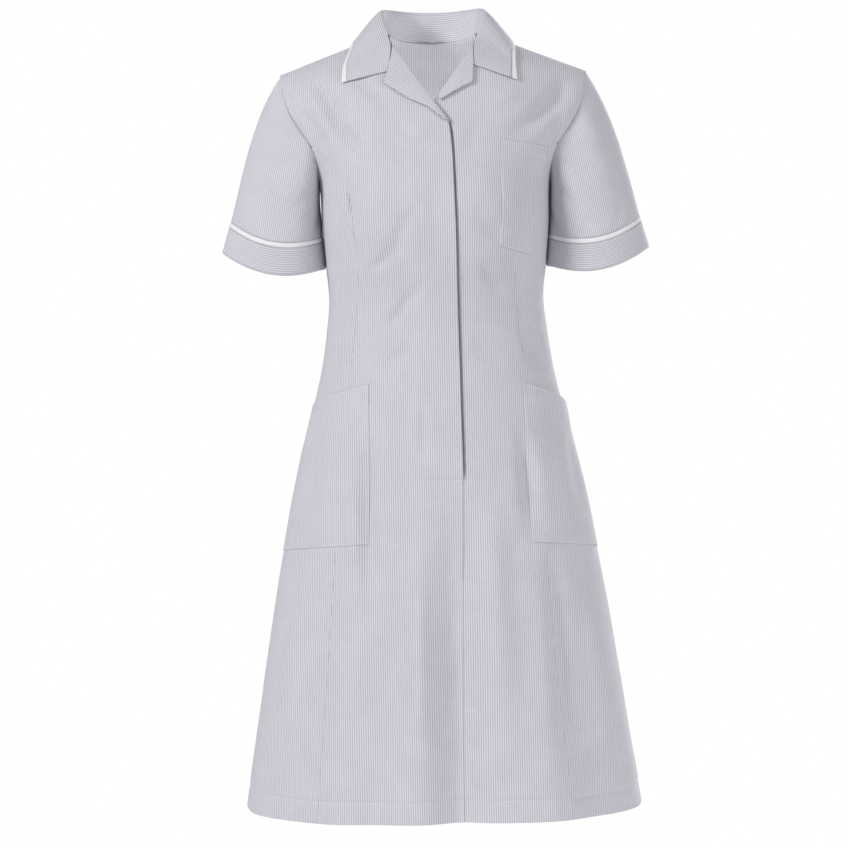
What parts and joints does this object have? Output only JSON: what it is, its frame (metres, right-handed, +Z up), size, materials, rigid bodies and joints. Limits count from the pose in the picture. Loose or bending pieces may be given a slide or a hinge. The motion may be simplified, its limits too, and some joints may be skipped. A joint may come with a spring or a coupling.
{
  "type": "nurse uniform dress",
  "caption": "Short-sleeved nurse's dress in fine striped cloth, with a concealed front fly, open collar, white piping and three pockets, held open as when worn.",
  "frame": {"origin": "midway between the neck ends of the two shoulder seams", "axes": "+Z up towards the neck, -Y the way the wearer faces, +X the wearer's left"},
  "size_m": [0.5546, 0.3515, 1.0427],
  "materials": {
    "striped_cloth": "matt, fine lengthwise stripe",
    "white_cloth": "matt"
  },
  "bodies": {
    "root": {"front_right": "striped_cloth", "front_left": "striped_cloth", "side_front_right": "striped_cloth", "side_front_left": "striped_cloth", "back": "striped_cloth", "sleeve_right": "striped_cloth", "sleeve_left": "striped_cloth", "cuff_piping_right": "white_cloth", "cuff_piping_left": "white_cloth", "cuff_right": "striped_cloth", "cuff_left": "striped_cloth", "collar": "striped_cloth", "collar_trim": "white_cloth", "lapel_right": "striped_cloth", "lapel_left": "striped_cloth", "hip_pocket_right": "striped_cloth", "hip_pocket_left": "striped_cloth", "chest_pocket": "striped_cloth"}
  },
  "joints": []
}
